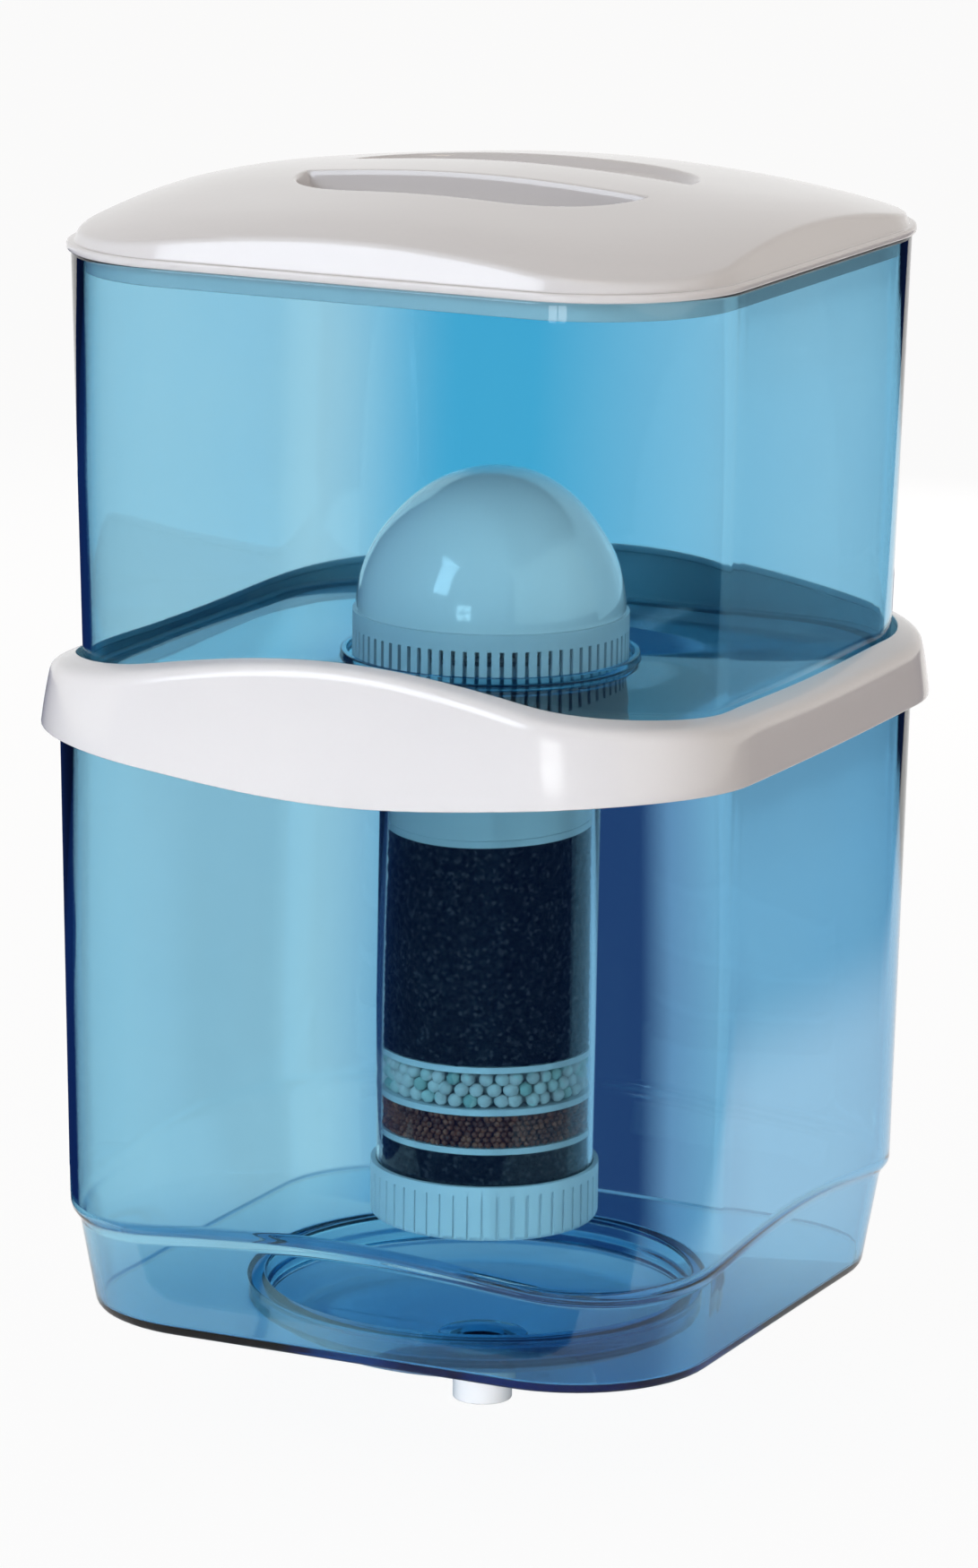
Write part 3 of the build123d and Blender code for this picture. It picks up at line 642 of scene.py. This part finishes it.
def lid_rings(top, under):
    edge, inner_edge = lid_wall_ring(0, 0), lid_wall_ring(LID_SKIN, LID_SKIN)

    def crown_rings(start, end, drop):
        """Rings over the crown between two rings."""
        rings = []
        for k in range(1, CROWN_RINGS):
            share = k / CROWN_RINGS
            flat = [a.lerp(b, share) for a, b in zip(start, end)]
            rings.append([Vector((p.x, p.y, crown(p.x, p.y) - drop)) for p in flat])
        return rings

    rings = [top.ring] + crown_rings(top.ring, edge, 0) + [edge]
    at = len(rings)
    bead, plug = square(BEAD_HALF, TANK_CORNER), square(PLUG_HALF, PLUG_CORNER)
    plug_inner = square(PLUG_HALF - PLUG_WALL, PLUG_CORNER - PLUG_WALL)
    rings += [
        level(square(LID_HALF, TANK_CORNER), BEAD_TOP_Z), level(bead, BEAD_TOP_Z), level(bead, UPPER_RIM_Z),
        level(plug, UPPER_RIM_Z), level(plug, PLUG_Z), level(plug_inner, PLUG_Z), level(plug_inner, BEAD_TOP_Z),
        level(square(LID_HALF - LID_SKIN, TANK_CORNER - LID_SKIN), BEAD_TOP_Z),
        inner_edge,
    ]
    rings += crown_rings(inner_edge, under.ring, LID_SKIN) + [under.ring]
    return rounded(rings, {at - 1: 1.8, at: 0.5, at + 1: 1.3, at + 2: 1.3, at + 4: 0.6, at + 5: 0.6})


def make_lid():
    top, under = Scoops(POCKET_EASE / 2, 0), Scoops(POCKET_EASE / 2 + LID_SKIN, LID_SKIN)
    patches = [top.patch("lid_scoops"), under.patch("lid_scoops_under")]
    lid = moulded("lid_moulding", lid_rings(top, under), closed=False)
    for patch in patches:
        patch.select_set(True)
    bpy.context.view_layer.objects.active = lid
    bpy.ops.object.join()
    bpy.ops.object.mode_set(mode="EDIT")
    close_mesh(lid, 32)
    return lid


dress(make_lid(), WHITE_GLOSS, "white_gloss", "lid", "lid")


# Dome strainer's cover and the ceramic element under it

def arc(radius, height, steps):
    """Points of a quarter circle in half section, from the rim up to the axis."""
    turns = [pi / 2 * k / steps for k in range(steps + 1)]
    return [(radius * cos(a) if k < steps else 0.0, height + radius * sin(a)) for k, a in enumerate(turns)]


DOME_STEPS, SEAM_Z, DOME_RADIUS, DOME_INNER_RADIUS = 40, 257.0, 50.0, 47.8
TENON_RADIUS, TENON_BORE_RADIUS, TENON_FOOT_Z = 48.8, 47.0, 253.0
dome_section = arc(DOME_RADIUS, SEAM_Z, DOME_STEPS)[::-1]
dome_section += [(TENON_RADIUS, SEAM_Z), (TENON_RADIUS, TENON_FOOT_Z), (TENON_BORE_RADIUS, TENON_FOOT_Z),
                 (TENON_BORE_RADIUS, SEAM_Z)]
dome_section += arc(DOME_INNER_RADIUS, SEAM_Z, DOME_STEPS)
dome_rounds = {DOME_STEPS: 0.35, DOME_STEPS + 2: 0.4, DOME_STEPS + 3: 0.4}
dress(turned("dome_cover_moulding", dome_section, dome_rounds, closed=False), WHITE_DOME,
      "white_filter", "dome", "dome_cover")

CERAMIC_STEPS, CERAMIC_Z, CERAMIC_SKIRT = 28, 246.0, 14.0
CERAMIC_RADIUS, CERAMIC_BORE_RADIUS, CERAMIC_ROUND = 38.0, 31.0, 0.8
ceramic_section = arc(CERAMIC_RADIUS, CERAMIC_Z + CERAMIC_SKIRT, CERAMIC_STEPS)[::-1]
ceramic_section += [(CERAMIC_RADIUS, CERAMIC_Z), (CERAMIC_BORE_RADIUS, CERAMIC_Z)]
ceramic_section += arc(CERAMIC_BORE_RADIUS, CERAMIC_Z + CERAMIC_SKIRT, CERAMIC_STEPS)
ceramic_rounds = {CERAMIC_STEPS + 1: CERAMIC_ROUND, CERAMIC_STEPS + 2: CERAMIC_ROUND}
dress(turned("ceramic_element", ceramic_section, ceramic_rounds, closed=False), CERAMIC, "ceramic",
      "upper_unit", "ceramic_dome")


# Media cartridge

# The tube stands a hair above its seal, so that the two share no face.
TUBE_FOOT_Z, TUBE_TOP_Z = 30.55, 221.0
TUBE_FOOT_RADIUS, TUBE_TOP_RADIUS, TUBE_WALL, FILL_GAP, TUBE_ROUND = 40.3, 41.8, 2.2, 0.4, 0.4


def fill_radius(z):
    """Radius of what fits inside the tapered tube at height z."""
    return on_line(z, TUBE_FOOT_Z, TUBE_FOOT_RADIUS, TUBE_TOP_Z, TUBE_TOP_RADIUS) - TUBE_WALL - FILL_GAP


tube_section = [(TUBE_FOOT_RADIUS, TUBE_FOOT_Z), (TUBE_TOP_RADIUS, TUBE_TOP_Z),
                (TUBE_TOP_RADIUS - TUBE_WALL, TUBE_TOP_Z), (TUBE_FOOT_RADIUS - TUBE_WALL, TUBE_FOOT_Z)]
dress(turned("cartridge_tube_clear", tube_section, dict.fromkeys(range(4), TUBE_ROUND)), CLEAR_TUBE, "clear_tube",
      "cartridge", "cartridge_tube")

CAP_TOP_Z, FLANGE_Z, FLANGE_RADIUS, SKIRT_Z, SKIRT_WALL = 226.5, 222.0, 42.6, 171.7, 2.5
SOCKET_RADIUS, SOCKET_BORE_RADIUS, SOCKET_FOOT_Z, SOCKET_FLOOR_Z, FEED_RADIUS = 20.3, 16.3, 202.5, 205.5, 9.0
cap_section = [(FLANGE_RADIUS, CAP_TOP_Z), (FLANGE_RADIUS, FLANGE_Z), (fill_radius(FLANGE_Z), FLANGE_Z),
               (fill_radius(SKIRT_Z), SKIRT_Z), (fill_radius(SKIRT_Z) - SKIRT_WALL, SKIRT_Z),
               (fill_radius(FLANGE_Z) - SKIRT_WALL, FLANGE_Z), (SOCKET_RADIUS, FLANGE_Z),
               (SOCKET_RADIUS, SOCKET_FOOT_Z), (FEED_RADIUS, SOCKET_FOOT_Z), (FEED_RADIUS, SOCKET_FLOOR_Z),
               (SOCKET_BORE_RADIUS, SOCKET_FLOOR_Z), (SOCKET_BORE_RADIUS, CAP_TOP_Z)]
dress(turned("cartridge_cap_moulding", cap_section, {0: 0.8, 1: 0.5, 3: 0.5, 4: 0.5, 11: 0.5}), WHITE_FILTER,
      "white_filter", "cartridge", "cartridge_cap")


CARBON_BED, BALL_BED, BEAD_BED, LOWER_CARBON_BED = (92.1, 169.4), (75.9, 89.8), (61.0, 73.6), (32.0, 58.7)
GRAIN_ROW, GRAIN_SIZE, GRAIN_DEPTH, BED_MIDDLE = 0.9, 2.2, 1.1, 20.0
BALL_SIZE, BEAD_SIZE, BED_DEPTH, GREEN_EVERY, GREEN_FIRST = 5.6, 2.6, 3, 7, 3


def grain_bed(name, low, high, node):
    """A plug of carbon grains: a turned plug whose skin is pushed in, grain by grain."""
    rows = round((high - low) / GRAIN_ROW)
    heights = [high + (low - high) * k / rows for k in range(rows + 1)]
    side = [(fill_radius(z), z) for z in heights]
    section = [(0, high), (BED_MIDDLE, high)] + side + [(BED_MIDDLE, low), (0, low)]
    bed = turned(name, section, closed=False)
    bpy.ops.object.modifier_add(type="SUBSURF")
    bed.modifiers[-1].subdivision_type = "SIMPLE"
    bed.modifiers[-1].levels = bed.modifiers[-1].render_levels = 1
    grain = bpy.data.textures.new(name + "_lumps", type="VORONOI")
    grain.noise_scale = GRAIN_SIZE * MM
    bpy.ops.object.modifier_add(type="DISPLACE")
    push = bed.modifiers[-1]
    push.texture, push.texture_coords = grain, "LOCAL"
    push.mid_level, push.strength = 0.0, -GRAIN_DEPTH * MM
    for modifier in list(bed.modifiers):
        bpy.ops.object.modifier_apply(modifier=modifier.name)
    dress(bed, CARBON, "carbon", "cartridge", node)


grain_bed("carbon_grain_bed", *CARBON_BED, "carbon_bed")
grain_bed("lower_carbon_grain_bed", *LOWER_CARBON_BED, "lower_carbon_bed")


def pebbles(name, places, diameter, segments, rings):
    """One pebble, modelled once and copied to every place."""
    bpy.ops.object.select_all(action="DESELECT")
    bpy.ops.mesh.primitive_uv_sphere_add(segments=segments, ring_count=rings, radius=diameter / 2 * MM)
    first = bpy.context.object
    bpy.ops.object.shade_smooth()
    copies = []
    for place, size, turn in places[1:]:
        copy = first.copy()
        copy.data = first.data.copy()
        scene.collection.objects.link(copy)
        copy.data.transform(Matrix.Translation(place * MM) @ turn @ Matrix.Diagonal((*size, 1)))
        copies.append(copy)
    place, size, turn = places[0]
    first.data.transform(Matrix.Translation(place * MM) @ turn @ Matrix.Diagonal((*size, 1)))
    for copy in copies:
        copy.select_set(True)
    bpy.context.view_layer.objects.active = first
    bpy.ops.object.join()
    first.name = first.data.name = name
    return first


def stacked(low, high, diameter, wobble, seed):
    """Places of pebbles that lie in rings against the tube, row upon row."""
    row_pitch, ring_pitch, pebble_pitch = diameter * 0.82, diameter * 0.93, diameter * 1.01
    draw, places = random.Random(seed), []
    rows = max(1, round((high - low - diameter) / row_pitch) + 1)
    for ring in range(BED_DEPTH):
        for row in range(rows):
            z = low + diameter / 2 + (high - low - diameter) * row / max(1, rows - 1)
            radius = fill_radius(z) - diameter / 2 - ring * ring_pitch
            count = int(2 * pi * radius / pebble_pitch)
            for k in range(count):
                turn = 2 * pi * (k + (row + ring) % 2 / 2 + draw.uniform(-wobble, wobble)) / count
                inward = radius - draw.uniform(0, wobble) * diameter
                spot = Vector((inward * cos(turn), inward * sin(turn), z))
                size = [draw.uniform(0.92, 1.0) for _ in range(3)]
                tumble = Matrix.Rotation(draw.uniform(0, pi), 4, (cos(turn), sin(turn), 0.3))
                places.append((spot, size, tumble))
    return places


ball_places = stacked(*BALL_BED, BALL_SIZE, wobble=0.12, seed=4)
glassy = [place for k, place in enumerate(ball_places) if k % GREEN_EVERY == GREEN_FIRST]
plain = [place for k, place in enumerate(ball_places) if k % GREEN_EVERY != GREEN_FIRST]
for name, places, glaze in (("mineral_balls_white", plain, BALLS), ("mineral_balls_green", glassy, GLASSY)):
    dress(pebbles(name, places, BALL_SIZE, 10, 6), glaze, "mineral_balls", "cartridge", "mineral_ball_bed")
bead_places = stacked(*BEAD_BED, BEAD_SIZE, wobble=0.2, seed=9)
dress(pebbles("mineral_beads", bead_places, BEAD_SIZE, 8, 5), BEADS, "mineral_beads", "cartridge",
      "mineral_bead_bed")


# Outlet spigot under the well
SPIGOT_TOP_Z, SPIGOT_COLLAR_Z, SPIGOT_END_Z = -30.0, -38.0, -47.0
SPIGOT_COLLAR_RADIUS, SPIGOT_RADIUS, SPIGOT_SOCKET_RADIUS = 12.4, 11.2, 9.9
spigot_section = [(SPIGOT_COLLAR_RADIUS, SPIGOT_TOP_Z), (SPIGOT_COLLAR_RADIUS, SPIGOT_COLLAR_Z),
                  (SPIGOT_RADIUS, SPIGOT_COLLAR_Z), (SPIGOT_RADIUS, SPIGOT_END_Z), (BORE_RADIUS, SPIGOT_END_Z),
                  (BORE_RADIUS, NIPPLE_END_Z), (SPIGOT_SOCKET_RADIUS, NIPPLE_END_Z),
                  (SPIGOT_SOCKET_RADIUS, SPIGOT_TOP_Z)]
dress(turned("outlet_spigot_moulding", spigot_section, {0: 0.5, 1: 0.6, 3: 0.8, 4: 0.5}), WHITE_GLOSS,
      "white_gloss", "base_unit", "outlet_spigot")


# CAD nodes that stay, each with its finish
KEPT = {
    WHITE_FILTER: ("strainer_ring", "filter_stem", "lock_nut", "screw_cap", "lower_divider", "middle_divider",
                   "upper_divider", "inlet_screen"),
    SILICONE: ("outlet_washer", "ceramic_gasket", "floor_gasket", "cap_gasket", "foot_seal"),
    FELT: ("outlet_felt",),
}
for material, nodes in KEPT.items():
    for node in nodes:
        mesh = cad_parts[node].data
        mesh.materials.clear()
        mesh.materials.append(material)


# Studio: places and sizes are in metres

FLOOR_Z, CLOTH_Z, ROOM_REACH = -0.0472, -0.046, 5.0
SHADOW_REACH, FLOOR_CLEAR_REACH = 0.14, 0.34
CARD_LEFT, CARD_RIGHT, CARD_BACK, CARD_SPLIT_Z = -0.185, 0.335, 0.2, 0.2
NAVY, INKY_NAVY, PAINTED_SHADE_BLUE = (0.01, 0.03, 0.12), (0.01, 0.025, 0.11), (0.045, 0.08, 0.20)
PANE_SIZE, PANE_PITCH, WINDOW_X, WINDOW_Y, WINDOW_Z = 0.2, 0.115, 0.09, -2.0, 0.46


def make_floor():
    """A pale floor that keeps the object's shadow and reads as white from afar. Seen through the tanks it is
    painted blue, a painted pool of the light that the blue tanks cast on it.
    """
    bpy.ops.object.select_all(action="DESELECT")
    bpy.ops.mesh.primitive_plane_add(size=12, location=(0, 0, FLOOR_Z))
    floor = bpy.context.object
    floor.name = "studio_floor"
    finish = Finish("pale_floor_painted_blue_light")
    # Painted blue light: rays through the tanks see the floor in a blue shade. It stands in for the light that
    # the tanks tint.
    shade = finish.shades(finish.ray("Is Transmission Ray"),
                          (0.0, (0.82, 0.82, 0.82)), (1.0, (0.36, 0.66, 1.0)))
    pale = finish.node("ShaderNodeBsdfDiffuse", None, {"Color": shade})
    white = finish.node("ShaderNodeEmission", None, {"Color": (1, 1, 1, 1), "Strength": 1.0})
    place = finish.node("ShaderNodeTexCoord", out="Object")
    away = finish.node("ShaderNodeVectorMath", {"operation": "LENGTH"}, {0: place}, "Value")
    away = finish.node("ShaderNodeMapRange", {"interpolation_type": "SMOOTHSTEP"},
                       {"Value": away, "From Min": SHADOW_REACH, "From Max": FLOOR_CLEAR_REACH})
    seen = finish.ray("Is Camera Ray") * 0.94
    seen = seen.math("MAXIMUM", seen, finish.ray("Is Glossy Ray", "Is Transmission Ray") * 0.9 * away)
    floor.data.materials.append(finish.surface(finish.mix(seen, pale, white)))


def studio_card(name, low, high, soft, seen_by, *shades):
    """A card between two corners that only some rays see, shaded from its first side to its last."""
    low, high = Vector(low), Vector(high)
    bpy.ops.object.select_all(action="DESELECT")
    bpy.ops.mesh.primitive_plane_add(size=1)
    card = bpy.context.object
    card.name = name
    first, second = [axis for axis in range(3) if low[axis] != high[axis]]
    for vert in card.data.vertices:
        corner = low.copy()
        corner[first] += (vert.co.x + 0.5) * (high[first] - low[first])
        corner[second] += (vert.co.y + 0.5) * (high[second] - low[second])
        vert.co = corner
    for kind in ("camera", "diffuse", "glossy", "transmission", "shadow", "volume_scatter"):
        setattr(card, "visible_" + kind, kind in seen_by)
    finish = Finish(name + "_finish")
    place = finish.node("ShaderNodeTexCoord", out="Object")
    across = finish.node("ShaderNodeSeparateXYZ", None, {"Vector": place}, "XYZ"[first])
    edge = finish.node("ShaderNodeMapRange", {"interpolation_type": "SMOOTHSTEP"},
                       {"Value": across, "From Min": low[first], "From Max": low[first] + soft})
    if "glossy" in seen_by:
        edge = edge * finish.mirrored()
    clear = finish.node("ShaderNodeBsdfTransparent")
    along = finish.node("ShaderNodeMapRange", None,
                        {"Value": across, "From Min": low[first], "From Max": high[first]})
    colour = finish.node("ShaderNodeEmission", None, {"Color": finish.shades(along, *shades), "Strength": 1.0})
    card.data.materials.append(finish.surface(finish.mix(edge, clear, colour)))


def make_world():
    """A warm dim room, which is white where it is seen directly, in gloss or through glass."""
    world = bpy.data.worlds.new("studio_room")
    scene.world = world
    finish = Finish("studio_room", world)
    room = finish.node("ShaderNodeBackground", None, {"Color": (1.0, 0.87, 0.78, 1), "Strength": 0.37})
    white = finish.node("ShaderNodeBackground", None, {"Color": (1, 1, 1, 1), "Strength": 1.0})
    seen = finish.ray("Is Camera Ray", "Is Glossy Ray", "Is Transmission Ray")
    finish.surface(finish.mix(seen, room, white))


def soft_box(name, place, target, size, power, colour):
    """A rectangular lamp that faces a point."""
    lamp = bpy.data.lights.new(name, "AREA")
    lamp.shape, (lamp.size, lamp.size_y), lamp.energy, lamp.color = "RECTANGLE", size, power, colour
    holder = bpy.data.objects.new(name, lamp)
    scene.collection.objects.link(holder)
    aim = Vector(place) - Vector(target)
    holder.matrix_world = Matrix.Translation(place) @ aim.to_track_quat("Z", "Y").to_matrix().to_4x4()
    return holder


def make_camera():
    """The camera that took the photograph, solved from the object's outlines."""
    azimuth, elevation, roll = radians(25.574), radians(12.75), radians(0.734)
    back = Vector((sin(azimuth) * cos(elevation), -cos(azimuth) * cos(elevation), sin(elevation)))
    right = Vector((cos(azimuth), sin(azimuth), 0))
    up = back.cross(right)
    across = cos(roll) * right + sin(roll) * up
    upward = cos(roll) * up - sin(roll) * right
    place = (Vector((0, 0, 190.303)) - right * 0.432 + back * 2563.919) * MM
    data = bpy.data.cameras.new("photo_camera")
    data.lens, data.sensor_width = 158.82, 36.0
    camera = bpy.data.objects.new("photo_camera", data)
    scene.collection.objects.link(camera)
    turn = Matrix((across, upward, back)).transposed().to_4x4()
    camera.matrix_world = Matrix.Translation(place) @ turn
    scene.camera = camera


make_floor()
make_world()
make_camera()
# Cards behind and beside the tanks, which show only through the clear plastic. The back cards glow in a painted
# backdrop of blues, from deep to pale, and the lower one holds a stripe of painted shade in deep blue.
studio_card("upper_back_card", (CARD_LEFT, CARD_BACK, CARD_SPLIT_Z), (CARD_RIGHT, CARD_BACK, 0.9), 0.075,
            ("transmission",), (0.2, (0.16, 0.62, 0.86)), (0.45, (0.80, 0.91, 1.0)))
# Painted shade: the deep blue stripe of this card darkens the lower tank beside the cartridge.
studio_card("lower_back_card", (CARD_LEFT, CARD_BACK, -0.045), (CARD_RIGHT, CARD_BACK, CARD_SPLIT_Z), 0.075,
            ("transmission",), (0.1, (0.16, 0.46, 0.72)), (0.19, PAINTED_SHADE_BLUE), (0.31, PAINTED_SHADE_BLUE),
            (0.34, (0.36, 0.45, 0.64)), (0.4, (0.58, 0.72, 0.88)))
# Painted shade: this navy card, seen only through the clear plastic, darkens the tanks' left edges.
studio_card("dark_left_card", (-0.6, -1.2, CLOTH_Z), (-0.6, 0.4, 1.2), 0.1, ("transmission",),
            (0.0, NAVY), (1.0, NAVY))
# Dark cloths round the object, which only mirrored rays see
for name, low, high in (
    ("dark_front_cloth", (-ROOM_REACH, -ROOM_REACH, CLOTH_Z), (ROOM_REACH, -0.2, CLOTH_Z)),
    ("dark_left_cloth", (-ROOM_REACH, -0.2, CLOTH_Z), (-0.3, 1.6, CLOTH_Z)),
    ("dark_right_cloth", (0.3, -0.2, CLOTH_Z), (ROOM_REACH, ROOM_REACH, CLOTH_Z)),
    ("dark_curtain", (-ROOM_REACH, -ROOM_REACH, CLOTH_Z), (ROOM_REACH, -ROOM_REACH, ROOM_REACH)),
):
    studio_card(name, low, high, 0.1, ("glossy", "transmission"), (0.0, INKY_NAVY), (1.0, INKY_NAVY))

soft_box("key_box", (-0.95, -2.0, 1.5), (0, 0, 0.25), (1.0, 1.0), 16.0, (0.88, 0.95, 1.05))
soft_box("top_box", (0.0, 0.2, 2.2), (0, 0, 0.3), (0.35, 0.35), 1.2, (1.0, 0.84, 0.68))
# Fills that leave no mirror image, each with the spread of its beam in degrees
for name, spread, place, target, size, power, colour in (
    ("spigot_strip", 16, (0.12, -0.5, -0.036), (0, 0, -0.038), (0.15, 0.016), 0.018, (1.0, 0.86, 0.74)),
    ("front_fill", 40, (-0.2, -1.9, 0.12), (0, 0, 0.05), (0.9, 0.4), 1.22, (0.93, 0.97, 1.03)),
    ("right_fill", 180, (1.75, -0.35, 0.5), (0, 0, 0.25), (0.8, 0.5), 5.0, (1.0, 0.93, 0.86)),
    ("back_fill", 180, (-0.3, 1.9, 0.45), (0, 0, 0.2), (1.0, 0.6), 14.0, (1.0, 0.95, 0.90)),
):
    lamp = soft_box(name, place, target, size, power, colour)
    lamp.visible_glossy = lamp.visible_transmission = lamp.visible_camera = False
    lamp.data.spread = radians(spread)
# A window of four panes, which the dome mirrors
for column in (-1, 1):
    for row in (-1, 1):
        place = (WINDOW_X + PANE_PITCH * column, WINDOW_Y, WINDOW_Z + PANE_PITCH * row)
        soft_box(f"window_pane_{column}_{row}", place, (0, 0, 0.26), (PANE_SIZE, PANE_SIZE), 0.6,
                 (0.95, 0.98, 1.0))
